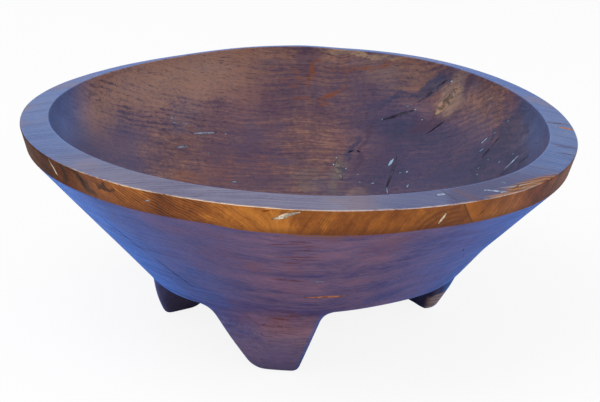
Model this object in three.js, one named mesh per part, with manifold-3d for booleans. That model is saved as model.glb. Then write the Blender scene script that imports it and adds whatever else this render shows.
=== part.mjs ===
// A wooden bowl on three feet, carved from one block, with its natural cracks filled.
// Millimetres, +Z up. The origin is on the ground under the middle of the rim.
// Angles round the bowl are degrees from -Y, growing towards +X.
import * as THREE from "three";
import { mergeVertices } from "three/addons/utils/BufferGeometryUtils.js";
import Module from "manifold-3d";

const wasm = await Module();
wasm.setup();

// Rim: a broad top face that falls outwards, and a band round its outside.
const rimRadius = 250;
const rimHeight = 195;
const rimWidth = 26;
const rimFall = 5;
const bandHeight = 20.5;
const bandTaper = 6;

// Flank: a straight cone from the band down to the underside.
const flankSlope = 47;

// Hollow: its depth below the rim's inner edge, and the two powers that round its curve.
const hollowDepth = 117;
const hollowFullness = 2.4;
const hollowRoundness = 0.625;

// Underside: flat, cut a little askew, lower on the -X side. The floor is the wood under the hollow.
const floorThickness = 20.5;
const undersideSkew = 4.3;

// Feet: wedges that carry the flank on downwards to flat soles, each cut by hand.
// angle is where a foot stands, facing the way that it is turned, and soleRadius its sole's outer edge.
const footSoleWidth = 39;
const footTopWidth = 94;
const footSoleThickness = 14;
const footTopThickness = 38;
const footFillet = 13;
const footCorner = 8;
const footHeel = 7;
const feet = [
  { angle: -6.6, facing: -3, soleRadius: 119, drift: -11 },
  { angle: -103, facing: -138, soleRadius: 119, drift: 5 },
  { angle: 117, facing: 121, soleRadius: 144, drift: -16 },
];

// Warp: dried wood is no longer flat at the rim. It rises and falls twice round the bowl, like a saddle,
// and less strongly three times, each first at its own angle. It fades to nothing at the soles.
const saddleRise = 3.9;
const saddleAngle = -25;
const threefoldRise = 1.1;
const threefoldAngle = 30;

// Crack fillers: lens-shaped slips set into pockets, with this much room all round.
const fillerClearance = 0.3;
const fillerDepth = 5;

// Facets.
const turns = 120;
const hollowSteps = 12;
const arcSteps = 5;
const lensSteps = 6;

const wood = { color: 0x6f4a44, roughness: 0.3, metalness: 0 };
const paleFiller = { color: 0xc9b79f, roughness: 0.35, metalness: 0 };
const rustFiller = { color: 0xa2521c, roughness: 0.35, metalness: 0 };
const darkFiller = { color: 0x2c2328, roughness: 0.35, metalness: 0 };
const greyFiller = { color: 0x8d96a6, roughness: 0.3, metalness: 0 };

const radians = THREE.MathUtils.degToRad;
const hollowRadius = rimRadius - rimWidth;
const bandFoot = rimRadius - bandTaper;
const flankFall = Math.tan(radians(flankSlope));
const undersideDepth = hollowDepth - rimFall + floorThickness;
const undersideRise = Math.tan(radians(undersideSkew));
// How far a foot's wood runs up into the block above the underside.
const footRoot = floorThickness / 2;

// Heights in the bowl's turned shape are measured from the plane of the rim's outer edge.
function hollowHeight(radius) {
  const share = 1 - Math.pow(Math.min(radius / hollowRadius, 1), hollowFullness);
  return rimFall - hollowDepth * Math.pow(share, hollowRoundness);
}

function flankRadius(height) {
  return bandFoot + (height + bandHeight) / flankFall;
}

function outward(angle) {
  return new THREE.Vector3(Math.sin(radians(angle)), -Math.cos(radians(angle)), 0);
}

function along(angle) {
  return new THREE.Vector3(Math.cos(radians(angle)), Math.sin(radians(angle)), 0);
}

// A closed geometry as a solid that can be joined and cut.
function solidOf(geometry) {
  const bare = geometry.index ? geometry.toNonIndexed() : geometry.clone();
  bare.deleteAttribute("normal");
  bare.deleteAttribute("uv");
  const merged = mergeVertices(bare, 1e-4);
  const kept = [];
  const index = merged.index.array;
  for (let i = 0; i < index.length; i += 3) {
    const [a, b, c] = [index[i], index[i + 1], index[i + 2]];
    if (a !== b && b !== c && c !== a) {
      kept.push(a, b, c);
    }
  }
  const mesh = new wasm.Mesh({
    numProp: 3,
    vertProperties: new Float32Array(merged.attributes.position.array),
    triVerts: new Uint32Array(kept),
  });
  return new wasm.Manifold(mesh);
}

// How far the warp lifts a point, from its place in the turned shape.
function warpLift(x, y, z) {
  const share = Math.hypot(x, y) / rimRadius;
  const angle = Math.atan2(x, -y);
  const saddle = saddleRise * share ** 2 * Math.cos(2 * (angle - radians(saddleAngle)));
  const threefold = threefoldRise * share ** 3 * Math.cos(3 * (angle - radians(threefoldAngle)));
  const fade = Math.min(1, (z + rimHeight) / (rimHeight - undersideDepth));
  return fade * (saddle + threefold);
}

// The triangles of a finished solid, warped.
function geometryOf(solid) {
  const mesh = solid.getMesh();
  const places = new Float32Array(mesh.vertProperties);
  for (let i = 0; i < places.length; i += 3) {
    places[i + 2] += warpLift(places[i], places[i + 1], places[i + 2]);
  }
  const geometry = new THREE.BufferGeometry();
  geometry.setAttribute("position", new THREE.BufferAttribute(places, 3));
  geometry.setIndex(new THREE.BufferAttribute(new Uint32Array(mesh.triVerts), 1));
  return geometry;
}

// A profile of [radius, height] points, turned about the upright axis.
function turned(profile) {
  const points = profile.map(([radius, height]) => new THREE.Vector2(radius, height));
  return new THREE.LatheGeometry(points, turns).rotateX(Math.PI / 2);
}

// The bowl's outside from the deepest point of the flank, over the rim and down the hollow.
function bowlProfile() {
  const deepest = -undersideDepth - bandHeight;
  const profile = [
    [0, deepest],
    [flankRadius(deepest), deepest],
    [bandFoot, -bandHeight],
    [rimRadius, 0],
  ];
  for (let i = 0; i < hollowSteps; i++) {
    const radius = hollowRadius * Math.cos((Math.PI / 2) * (i / hollowSteps));
    profile.push([radius, hollowHeight(radius)]);
  }
  profile.push([0, hollowHeight(0)]);
  return profile;
}

// The underside's height, from the rim plane, at a distance to the +X side.
function undersideHeight(x) {
  return -undersideDepth + x * undersideRise;
}

// The radius of the edge where the flank meets the underside.
function undersideEdge(angle) {
  const side = Math.sin(radians(angle));
  const reach = bandFoot + (bandHeight - undersideDepth) / flankFall;
  return reach / (1 - (side * undersideRise) / flankFall);
}

function undersideCutter() {
  const side = 3 * rimRadius;
  const cutter = new THREE.BoxGeometry(side, side, side);
  cutter.translate(0, 0, -side / 2);
  cutter.rotateY(-radians(undersideSkew));
  cutter.translate(0, 0, -undersideDepth);
  return solidOf(cutter);
}

// Stands a flat outline upright, facing an angle, with its middle at a point, and gives it depth both ways.
function uprightSlab(outline, facing, middle, depth) {
  const slab = new THREE.ExtrudeGeometry(outline, { depth, bevelEnabled: false, curveSegments: arcSteps });
  slab.translate(0, 0, -depth / 2);
  const placing = new THREE.Matrix4().makeBasis(along(facing), new THREE.Vector3(0, 0, 1), outward(facing));
  return solidOf(slab.applyMatrix4(placing.setPosition(middle)));
}

// The foot seen from outside: a wedge with rounded sole corners, filleted into the underside.
function footFront(top, slope, drift) {
  const half = footSoleWidth / 2;
  const topHalf = footTopWidth / 2;
  const outline = new THREE.Shape();
  const edge = (side, height) => {
    const share = height / top;
    return side * (half + (topHalf - half) * share) + drift * share;
  };
  const wing = topHalf + footFillet;
  outline.moveTo(-wing, top + footRoot - slope * wing);
  outline.lineTo(-wing, top - slope * wing);
  outline.quadraticCurveTo(edge(-1, top), top, edge(-1, top - footFillet), top - footFillet);
  outline.lineTo(edge(-1, footCorner), footCorner);
  outline.quadraticCurveTo(edge(-1, 0), 0, edge(-1, 0) + footCorner, 0);
  outline.lineTo(edge(1, 0) - footCorner / 2, 0);
  outline.quadraticCurveTo(edge(1, 0), 0, edge(1, footCorner / 2), footCorner / 2);
  outline.lineTo(edge(1, top - footFillet), top - footFillet);
  outline.quadraticCurveTo(edge(1, top), top, wing, top + slope * wing);
  outline.lineTo(wing, top + footRoot + slope * wing);
  return outline;
}

// The foot seen from its side, open outwards: an upright wedge that thickens towards the underside.
function footSide(top) {
  const inner = footSoleThickness / 2;
  const innerTop = inner + footTopThickness - footSoleThickness;
  const rootShare = (top + footRoot) / top;
  const outline = new THREE.Shape();
  outline.moveTo(rimRadius, 0);
  outline.lineTo(rimRadius, top + footRoot);
  outline.lineTo(-inner - (innerTop - inner) * rootShare, top + footRoot);
  outline.lineTo(-inner, 0);
  return outline;
}

// The round outer face that the foot shares with the flank, and its rounded heel.
function footFace(foot, top) {
  const edge = undersideEdge(foot.angle);
  const rise = (edge - foot.soleRadius) / top;
  const profile = [[0, 0]];
  for (let i = 0; i <= arcSteps; i++) {
    const turn = (Math.PI / 2) * (i / arcSteps);
    const height = footHeel * (1 - Math.cos(turn));
    profile.push([foot.soleRadius + rise * height - footHeel * (1 - Math.sin(turn)), height]);
  }
  profile.push([foot.soleRadius + rise * (top + footRoot), top + footRoot], [0, top + footRoot]);
  return profile;
}

function footSolid(foot) {
  const stand = outward(foot.angle).multiplyScalar(foot.soleRadius - footSoleThickness / 2);
  stand.z = -rimHeight;
  const edgeX = undersideEdge(foot.angle) * outward(foot.angle).x;
  const top = rimHeight + undersideHeight(edgeX);
  const slope = undersideRise * along(foot.facing).x;
  const front = uprightSlab(footFront(top, slope, foot.drift), foot.facing, stand, 2 * rimRadius);
  const side = uprightSlab(footSide(top), foot.facing - 90, stand, 2 * rimRadius);
  const face = solidOf(turned(footFace(foot, top)).translate(0, 0, -rimHeight));
  return front.intersect(side).intersect(face);
}

// The bowl's surfaces as lines of [radius, height]. On the rim's top and in the hollow a place is given by
// its distance in from that surface's outer edge, and on the band and the flank by its depth below the rim.
const surfaceLines = {
  rim: (inset) => [rimRadius - inset, (rimFall * inset) / rimWidth],
  band: (depth) => [rimRadius - (bandTaper * depth) / bandHeight, -depth],
  flank: (depth) => [flankRadius(-depth), -depth],
  hollow: (inset) => [hollowRadius - inset, hollowHeight(hollowRadius - inset)],
};

// Where a filler sits: x runs round the bowl, y along the surface away from the rim's outer edge, and z
// square to the surface.
function surfacePlace({ surface, angle, at }) {
  const line = surfaceLines[surface];
  const step = 0.5;
  const [radius, height] = line(at);
  const [farRadius, farHeight] = line(at + step);
  const [nearRadius, nearHeight] = line(at - step);
  const round = along(angle);
  const across = outward(angle).multiplyScalar(farRadius - nearRadius);
  across.z = farHeight - nearHeight;
  across.normalize();
  const point = outward(angle).multiplyScalar(radius);
  point.z = height;
  return new THREE.Matrix4().makeBasis(round, across, round.clone().cross(across)).setPosition(point);
}

// A lens outline: two shallow parabolas that meet in its tips.
function lensOutline(length, width) {
  const outline = new THREE.Shape();
  for (let i = 0; i < 2 * lensSteps; i++) {
    const side = i < lensSteps ? 1 : -1;
    const share = side * (1 - (2 * (i % lensSteps)) / lensSteps);
    const point = [(share * length) / 2, (side * width * (1 - share * share)) / 2];
    if (i === 0) {
      outline.moveTo(...point);
    } else {
      outline.lineTo(...point);
    }
  }
  return outline;
}

// A filler's blade, sunk into its surface. With room, it is the blade that cuts the filler's pocket.
function blade(filler, room) {
  const width = filler.width + 2 * room;
  const length = filler.length * Math.sqrt(width / filler.width);
  const sunk = fillerDepth + room;
  const outline = lensOutline(length, width);
  const lens = new THREE.ExtrudeGeometry(outline, { depth: 2 * sunk, bevelEnabled: false });
  lens.translate(0, 0, -sunk).rotateZ(radians(filler.turn));
  return solidOf(lens.applyMatrix4(surfacePlace(filler)));
}

// Each filler lies at an angle round the bowl, on one of the surfaces, and is turned from the way round it.
const fillers = [
  {
    name: "front_band_filler", surface: "band", look: paleFiller,
    angle: -1.7, at: 6, length: 24, width: 4, turn: -18,
  },
  {
    name: "left_band_filler", surface: "band", look: paleFiller,
    angle: -56.3, at: 8, length: 17, width: 2.4, turn: 52,
  },
  {
    name: "right_band_filler", surface: "band", look: paleFiller,
    angle: 28.8, at: 12, length: 11, width: 2, turn: -60,
  },
  {
    name: "rim_spot_filler", surface: "rim", look: greyFiller,
    angle: 30.3, at: 17.5, length: 9, width: 3.4, turn: 0,
  },
  {
    name: "rim_streak_filler", surface: "rim", look: greyFiller,
    angle: 42.9, at: 8.5, length: 20, width: 3, turn: -31,
  },
  {
    name: "rim_side_filler", surface: "rim", look: rustFiller,
    angle: 92.6, at: 9, length: 13, width: 3, turn: -88,
  },
  {
    name: "hollow_left_filler", surface: "hollow", look: greyFiller,
    angle: -149.2, at: 44.5, length: 25, width: 2.6, turn: -7,
  },
  {
    name: "hollow_lower_left_filler", surface: "hollow", look: greyFiller,
    angle: -139.3, at: 53, length: 16, width: 2.4, turn: -4,
  },
  {
    name: "hollow_back_filler", surface: "hollow", look: greyFiller,
    angle: 162.5, at: 90, length: 29, width: 6, turn: -62,
  },
  {
    name: "hollow_long_filler", surface: "hollow", look: darkFiller,
    angle: 140.9, at: 81, length: 46, width: 3, turn: -68,
  },
  {
    name: "hollow_top_filler", surface: "hollow", look: darkFiller,
    angle: 143.2, at: 9, length: 36, width: 3.4, turn: 50,
  },
  {
    name: "hollow_pale_filler", surface: "hollow", look: rustFiller,
    angle: 138.1, at: 12.5, length: 34, width: 9, turn: 68,
  },
  {
    name: "hollow_upper_filler", surface: "hollow", look: greyFiller,
    angle: 150.6, at: 27, length: 32, width: 3, turn: 30,
  },
  {
    name: "hollow_diagonal_filler", surface: "hollow", look: darkFiller,
    angle: 114.3, at: 26, length: 24, width: 2.6, turn: 89,
  },
  {
    name: "hollow_right_filler", surface: "hollow", look: greyFiller,
    angle: 100.6, at: 24, length: 21, width: 2.6, turn: 84,
  },
  {
    name: "flank_filler", surface: "flank", look: rustFiller,
    angle: 9.9, at: 106, length: 37, width: 3, turn: -3,
  },
];

function piece(name, solid, look) {
  const mesh = new THREE.Mesh(geometryOf(solid), new THREE.MeshStandardMaterial(look));
  mesh.name = name;
  return mesh;
}

const bowl = new THREE.Group();
bowl.position.z = rimHeight;

let block = solidOf(turned(bowlProfile())).subtract(undersideCutter());
for (const foot of feet) {
  block = block.add(footSolid(foot));
}
const solidBlock = block;
for (const filler of fillers) {
  bowl.add(piece(filler.name, solidBlock.intersect(blade(filler, 0)), filler.look));
  block = block.subtract(blade(filler, fillerClearance));
}
bowl.add(piece("bowl_body", block, wood));

export default bowl;
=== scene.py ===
"""A wide wooden bowl on three feet, carved from one root block, with its natural cracks filled.

Metres, +Z up, -Y towards the foot at the front. The bowl is shaped and cut as it was carved, with its rim
level, and takes the warp of the dried wood last. Heights in the carved shape are measured from the plane
of the rim's outer edge. Angles round the bowl are degrees from -Y, growing towards +X. The lengths in the
tables of fillers, marks and patches are millimetres.
"""

import math

import bmesh
import bpy
import numpy as np
from bpy.props import FloatProperty, FloatVectorProperty, PointerProperty
from mathutils import Matrix, Vector


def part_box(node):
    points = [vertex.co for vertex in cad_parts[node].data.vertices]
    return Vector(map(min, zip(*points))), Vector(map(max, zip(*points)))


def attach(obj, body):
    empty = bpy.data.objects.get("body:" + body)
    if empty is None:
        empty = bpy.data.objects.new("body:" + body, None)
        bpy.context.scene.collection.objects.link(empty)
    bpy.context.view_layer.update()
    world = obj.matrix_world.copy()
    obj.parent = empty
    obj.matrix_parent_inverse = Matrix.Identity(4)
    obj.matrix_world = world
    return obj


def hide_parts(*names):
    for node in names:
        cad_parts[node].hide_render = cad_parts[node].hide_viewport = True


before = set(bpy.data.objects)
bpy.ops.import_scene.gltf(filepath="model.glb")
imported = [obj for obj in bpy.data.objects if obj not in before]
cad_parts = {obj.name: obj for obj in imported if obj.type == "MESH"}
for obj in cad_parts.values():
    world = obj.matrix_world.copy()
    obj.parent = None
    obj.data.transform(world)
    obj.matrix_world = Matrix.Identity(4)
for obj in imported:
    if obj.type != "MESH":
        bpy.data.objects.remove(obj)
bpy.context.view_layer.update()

bl_info = {
    "name": "Footed wooden bowl",
    "version": (1, 0, 0),
    "blender": (4, 5, 0),
    "location": "3D View > Sidebar > Bowl",
    "description": "Carves a wide wooden bowl on three feet, with filled cracks and a worn lacquer",
    "category": "Object",
}

MM = 0.001
# The attribute that keeps each point's place before the wood warped, and the regions with their own finish.
CARVED_PLACE = "carved_place"
REGIONS = ("Hollow", "Flank", "Rim", "Band")
REGION_MARGIN = 3 * MM
RIM_REGION_INSET = 0.3 * MM
RIM_REGION_DROP = 0.5 * MM
BAND_REGION_EXTRA = 4 * MM

# Rim, band, flank and hollow.
RIM_WIDTH = 26 * MM
RIM_FALL = 5 * MM
RIM_RADIUS = 250 * MM
BAND_HEIGHT = 20.5 * MM
BAND_TAPER = 6 * MM
FLANK_SLOPE = 47
HOLLOW_DEPTH = 117 * MM
HOLLOW_FULLNESS = 2.4
HOLLOW_ROUNDNESS = 0.625

# Underside and feet. A foot's outer face spreads as far round as FOOT_SPREAD degrees, and its wedge ends
# WEDGE_REACH inside its sole.
UNDERSIDE_DEPTH = 132.5 * MM
UNDERSIDE_SKEW = 4.3
SOLE_WIDTH = 39 * MM
FOOT_TOP_WIDTH = 103 * MM
SOLE_THICKNESS = 14 * MM
FOOT_TOP_THICKNESS = 38 * MM
FOOT_SPREAD = 55
WEDGE_REACH = 80 * MM
FOOT_FILLET = 10 * MM
LEFT_CORNER = 9 * MM
RIGHT_CORNER = 5 * MM
INNER_CORNER = 3 * MM
FACE_ROUNDING = 2 * MM
HEEL_HEIGHT = 30 * MM
HEEL_ROUNDING = 7 * MM
BELLY_ROUNDING = 3 * MM
# Each foot: where it stands, the way it is turned, its sole's outer edge, its lean along its width.
FEET = (
    (-6.6, -3, 119 * MM, -11 * MM),
    (-103, -138, 119 * MM, 5 * MM),
    (117, 121, 144 * MM, -16 * MM),
)

# How far each edge of the rim and band is rounded over.
INNER_EDGE = 1.6 * MM
OUTER_EDGE = 2.2 * MM
BAND_EDGE = 1.0 * MM

# Mesh rows from the middle of the hollow to the middle of the underside, and columns round the bowl.
COLUMNS = 400
HOLLOW_ROWS = 62
EDGE_ROWS = 5
RIM_ROWS = 11
BAND_ROWS = 9
FLANK_ROWS = 38
FOOT_ROWS = 70
CENTRE_ROWS = 10
CENTRE_RADIUS = 55 * MM
EDGE_MARGIN = 5 * MM
PROFILE_SAMPLES = 700
HALVINGS = 34
# Columns crowd together round each foot, and rows where the shape is steep and beside the belly's edge.
FOOT_CROWDING = 1.1
FOOT_BELT = 24
STEEP_CROWDING = 0.55
STEEPEST = 14
EDGE_CROWDING = 3.0
EDGE_BELT = 3 * MM
SMOOTHING_ROWS = 13
# The lines of the surfaces that fillers, flecks and nicks lie on.
LINE_SAMPLES = 4001
FLANK_OVERRUN = 20 * MM

# Small corrections of form, in metres: name, distance, axis, and limits as a measure of the carved place with
# where the correction starts and where it is full. Aside is the distance from the middle along x, and across
# grows from 0 at the rim's inner edge to 1 at its outer edge.
CORRECTIONS = (
    # At the back the rim slopes down more and its middle stands higher.
    ("Back Tilt", -1.6 * MM, "z", ("y", 0.02, 0.20), ("z", -0.016, -0.004), ("across",)),
    ("Back Rise", 1.6 * MM, "z", ("x", -0.15, -0.05), ("x", 0.045, -0.005), ("y", 0.10, 0.21),
     ("z", -0.05, -0.01)),
    # In front the rim's outer edge stands a little higher and the band reaches further down.
    ("Front Rise", 0.9 * MM, "z", ("y", -0.12, -0.24), ("across",), ("z", -0.014, -0.003)),
    ("Band Sag", -2.1 * MM, "z", ("x", -0.075, -0.030), ("x", 0.115, 0.060), ("y", -0.10, -0.18),
     ("z", -0.005, -0.020), ("z", -0.060, -0.023)),
    # The belly stands out further above the right foot, and the two back feet lean a little.
    ("Right Belly", 6 * MM, "x", ("x", 0.070, 0.120), ("z", -0.080, -0.128), ("z", -0.196, -0.136)),
    ("Left Foot Lean", 3.5 * MM, "x", ("x", -0.118, -0.095), ("x", -0.045, -0.070), ("z", -0.138, -0.172),
     ("y", -0.070, -0.035)),
    ("Back Feet Lean", -3.5 * MM, "y", ("z", -0.132, -0.185), ("aside", 0.060, 0.085), ("y", -0.070, -0.035)),
)

# Crack fillers: name, surface, angle, distance along the surface's own measure, length, width, turn, slot.
FILLERS = (
    ("front_band_filler", "band", -1.7, 6, 24, 4, -18, "pale_filler"),
    ("left_band_filler", "band", -56.3, 8, 17, 2.4, 52, "pale_filler"),
    ("right_band_filler", "band", 28.8, 12, 11, 2, -60, "pale_filler"),
    ("rim_spot_filler", "rim", 30.3, 17.5, 9, 3.4, 0, "grey_filler"),
    ("rim_streak_filler", "rim", 42.9, 8.5, 20, 3, -31, "grey_filler"),
    ("rim_side_filler", "rim", 92.6, 9, 13, 3, -88, "rust_filler"),
    ("hollow_left_filler", "hollow", -149.2, 44.5, 25, 2.6, -7, "grey_filler"),
    ("hollow_lower_left_filler", "hollow", -139.3, 53, 16, 2.4, -4, "grey_filler"),
    ("hollow_back_filler", "hollow", 162.5, 90, 29, 6, -62, "grey_filler"),
    ("hollow_long_filler", "hollow", 140.9, 81, 46, 3, -68, "dark_filler"),
    ("hollow_top_filler", "hollow", 143.2, 9, 36, 3.4, 50, "dark_filler"),
    ("hollow_pale_filler", "hollow", 138.1, 12.5, 34, 9, 68, "rust_filler"),
    ("hollow_upper_filler", "hollow", 150.6, 27, 32, 3, 30, "grey_filler"),
    ("hollow_diagonal_filler", "hollow", 114.3, 26, 24, 2.6, 89, "dark_filler"),
    ("hollow_right_filler", "hollow", 100.6, 24, 21, 2.6, 84, "grey_filler"),
    ("flank_filler", "flank", 9.9, 106, 37, 3, -3, "rust_filler"),
)
FILLER_CLEARANCE = 0.3 * MM
FILLER_DEPTH = 5 * MM
FILLER_SINK = 0.3 * MM
FILLER_SEED = 40
POCKET_ABOVE = 2.5 * MM
RAGGED = 0.22
# How wide a filler, fleck or nick is at its bottom, against its top.
BOTTOM_WIDTH = 0.8

# Pastes by slot, with three more for single fillers: material, the setting of its colour, gloss.
PASTES = {
    "pale_filler": ("pale paste", "pale_colour", 0.3),
    "grey_filler": ("grey paste", "grey_colour", 0.3),
    "rust_filler": ("rust paste", "rust_colour", 0.2),
    "dark_filler": ("dark paste", "dark_colour", 0.02),
    "tan": ("tan paste", "tan_colour", 0.1),
    "dull": ("dull paste", "dull_colour", 0.15),
    "faint": ("faint paste", "faint_colour", 0.1),
}
# Fillers whose paste isn't that of their slot.
OWN_PASTES = {
    "hollow_pale_filler": "tan", "hollow_back_filler": "dull", "hollow_upper_filler": "dark_filler",
    "hollow_left_filler": "faint", "hollow_lower_left_filler": "faint",
}

# Small flecks of hardened glaze in pits, by surface: angle, distance along it, length, width, turn.
# Their pale blue is a painted glint of reflected light.
FLECKS = {
    "hollow": (
        (-141, 28, 3.6, 1.2, -11), (-141, 31.5, 5, 1, -17), (-143, 34, 2.9, 1, -25),
        (-144.7, 34.5, 2.9, 0.9, -10), (-148, 40.5, 3.1, 0.8, -9), (-150, 104, 5.4, 1.4, -15),
        (-156, 48, 2.4, 0.9, 4), (-147, 64.5, 2.2, 0.9, -12), (165.6, 83, 3.2, 1.4, 74),
        (160.2, 86, 3.1, 1.4, 61), (165.5, 74.5, 2, 0.9, 6), (154, 91, 2.2, 1.1, 0),
        (151, 100.5, 2.9, 1.2, 0),
        (145, 98, 3.6, 1, 50), (144.6, 69, 12, 2.8, -86), (136, 101, 11.7, 1.2, -43), (138, 77, 3.6, 2, 88),
        (135.8, 74, 3.6, 2, 90), (130, 87, 7.5, 1.2, -65), (149, 20, 3.6, 1.4, 19), (146.4, 21, 3.6, 1.4, 27),
        (155, 32.5, 2.2, 1.1, 29), (142.9, 26.5, 2.3, 1.1, 30), (138.5, 3, 4, 1.4, 40),
        (118.6, 24, 10.8, 1.2, 72), (116.9, 30.5, 6.3, 1.2, 76), (114.6, 8.5, 4.5, 2, 63),
        (111.4, 33, 2.3, 1.1, 55), (116.8, 17, 2, 0.9, -84), (111.7, 42, 3.4, 1.1, -67),
        (109.4, 46.5, 2.2, 1, 47), (103.4, 20, 3.5, 1, 84), (106.1, 29.5, 3.3, 1.1, -80),
        (94.4, 5, 14.4, 1.2, 46),
    ),
    "rim": (
        (47.5, 17, 5.9, 1.2, -48), (40.6, 13, 3.1, 1.2, 7), (43.4, 4.6, 3.1, 1.1, 2), (49.8, 3.4, 4, 1, -3),
    ),
    "band": ((-29.1, 9, 6.5, 0.7, -22),),
    "flank": ((6.9, 85, 10.8, 0.9, 1),),
}
FLECK_DEPTH = 1.6 * MM
FLECK_SEED = 90
# Each fleck is a little smaller than its pit, and domed from below the wood to above it.
FLECK_SHRINK = 0.05 * MM
FLECK_FLOOR_GAP = 0.2 * MM
FLECK_EDGE = -0.1 * MM
FLECK_MIDDLE = 0.15 * MM
PIT_CLEARANCE = 0.12 * MM
PIT_ABOVE = 1.2 * MM

# Open checks and nicks in the wood, by surface: angle, distance along it, length, width, turn, depth.
NICKS = {
    "flank": (
        (-3.4, 24.5, 9, 0.9, -7, 1.2), (1.3, 30.2, 20, 1.0, -5, 1.4), (2.9, 36.2, 11, 0.9, -4, 1.2),
        (1.4, 43, 20, 0.9, -5, 1.2), (0, 55.7, 8, 0.8, -6, 1.0), (6.5, 117.5, 12, 1.0, 0, 1.2),
        (-46.3, 65.7, 57, 1.5, 57, 2.6), (-37.5, 99, 50, 1.5, 59, 2.6), (44, 62, 7, 1.3, 62, 1.2),
        (48, 74, 8, 1.2, 66, 1.2),
    ),
    "band": (
        (-5.5, 3.4, 8, 1.5, -10, 1.2), (-46, 9, 15, 1.6, 52, 1.6), (38, 12, 10, 0.8, -35, 1.0),
    ),
    "rim": (
        (95.2, 15, 14, 1.0, -51, 1.2), (79.2, 12, 15, 0.9, -61, 1.0), (75.6, 8, 10, 0.9, -70, 1.0),
        (48.6, 7.0, 15, 1.1, 12, 1.2), (-19, 6, 14, 0.8, 34, 0.8),
    ),
    "hollow": (
        (161.1, 66, 6, 2.4, 40, 1.8), (158.4, 64.5, 5, 2.2, -20, 1.8), (137.4, 29, 26, 1.6, 58, 1.6),
        (96, 17, 17, 1.3, 60, 1.4), (99.5, 33, 14, 1.2, 74, 1.2),
    ),
}
NICK_SEED = 190

# Colours that the wood's patches take, and the patches at the back of the hollow:
# x, height from the rim's plane, half length, half height, turn, colour, strength.
NAVY = (0.030, 0.034, 0.085)
PLUM = (0.060, 0.034, 0.070)
RUST = (0.185, 0.052, 0.018)
TAN = (0.34, 0.22, 0.15)
WARM = (0.22, 0.125, 0.095)
# The slate blue is no colour of the wood but a painted blue reflection, high on the hollow's right wall.
REFLECTED_SLATE = (0.070, 0.105, 0.240)
SAGE = (0.15, 0.125, 0.115)
HOLLOW_PATCHES = (
    (168, -20, 34, 17, 62, WARM, 0.18), (98, -12, 36, 20, -8, WARM, 0.45), (-105, -14, 60, 16, 5, WARM, 0.5),
    (-30, -10, 40, 14, -12, RUST, 0.22), (0, -36, 44, 22, -10, PLUM, 0.7), (8, -6, 15, 12, 80, PLUM, 0.85),
    (50, -24, 34, 12, -20, PLUM, 0.4), (-12, -27, 13, 4, 20, RUST, 0.5), (30, -36, 13, 3.4, 15, RUST, 0.85),
    (12, -18, 11, 2.6, 60, RUST, 0.7), (60, -13, 22, 2.8, 10, RUST, 0.75), (85, -4, 10, 2.8, 30, RUST, 0.8),
    # The tan patch at x 58, height 3, just under the back rim, is a painted highlight.
    (58, 3, 33, 3.5, -3, TAN, 1.0), (106, -56, 40, 12, 4, NAVY, 0.95), (128, -17, 23, 4.2, 44, NAVY, 1.0),
    (160, -10, 24, 4, 57, PLUM, 0.9), (128, -44, 26, 5, 28, PLUM, 0.9), (100, -32, 20, 3, 12, NAVY, 0.75),
    (80, -40, 16, 2.4, 30, NAVY, 0.6), (194, -28, 38, 5, 54, NAVY, 0.9), (206, -36, 24, 9, 50, NAVY, 0.7),
    # The slate patch at x 222 is that painted blue reflection.
    (222, -12, 12, 26, 0, REFLECTED_SLATE, 0.7), (188, -52, 26, 2.4, 50, NAVY, 0.8), (170, -60, 22, 2.0, 44, NAVY, 0.7),
    (40, -90, 13, 5, 62, SAGE, 0.5), (7, -95, 18, 3, 0, SAGE, 0.35), (56, -98, 12, 3, 20, TAN, 0.3),
    (52, -75, 5, 3.0, 40, NAVY, 0.95), (44, -87, 3, 3, 0, NAVY, 0.8), (64, -70, 22, 2.2, 62, PLUM, 0.9),
    (84, -84, 26, 9, 20, NAVY, 0.4), (150, -72, 44, 14, 30, NAVY, 0.5), (-60, -88, 50, 8, 5, RUST, 0.2),
    (147, -17, 22, 8, 62, TAN, 0.6), (24, -44, 5, 1.6, 10, RUST, 0.7), (-4, -20, 5, 1.3, 30, RUST, 0.7),
    (20, -8, 4, 1.4, 0, RUST, 0.8), (44, -20, 6, 1.2, 15, RUST, 0.7), (2, -40, 8, 1.4, 10, RUST, 0.6),
    (100, -2, 5, 1.6, 50, RUST, 0.7),
)
# A patch at least this long has a softer edge.
LONG_PATCH = 40

# Marks on the rim, seen from above: x, y, half length, half width, turn, colour, strength.
DRY = (0.36, 0.33, 0.30)
WINE = (0.09, 0.025, 0.03)
RIM_MARKS = (
    (127, -203, 18, 0.8, -52, (0.05, 0.035, 0.06), 0.6), (140, -196, 16, 5, -40, (0.16, 0.075, 0.055), 0.25),
    (188, -154, 22, 0.6, 44, DRY, 0.6), (178, -162, 16, 0.6, 38, DRY, 0.6),
    (199, -150, 16, 0.6, 52, DRY, 0.6), (172, -181, 20, 2.2, 33, (0.34, 0.17, 0.07), 0.7),
    (233, 20, 13, 1.3, 25, WINE, 0.8),
    (235, -42, 14, 1.1, 8, WINE, 0.8), (238, -60, 12, 1.0, 12, WINE, 0.8),
    (242, 12, 8, 2.4, 12, (0.36, 0.11, 0.03), 0.9),
)

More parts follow.
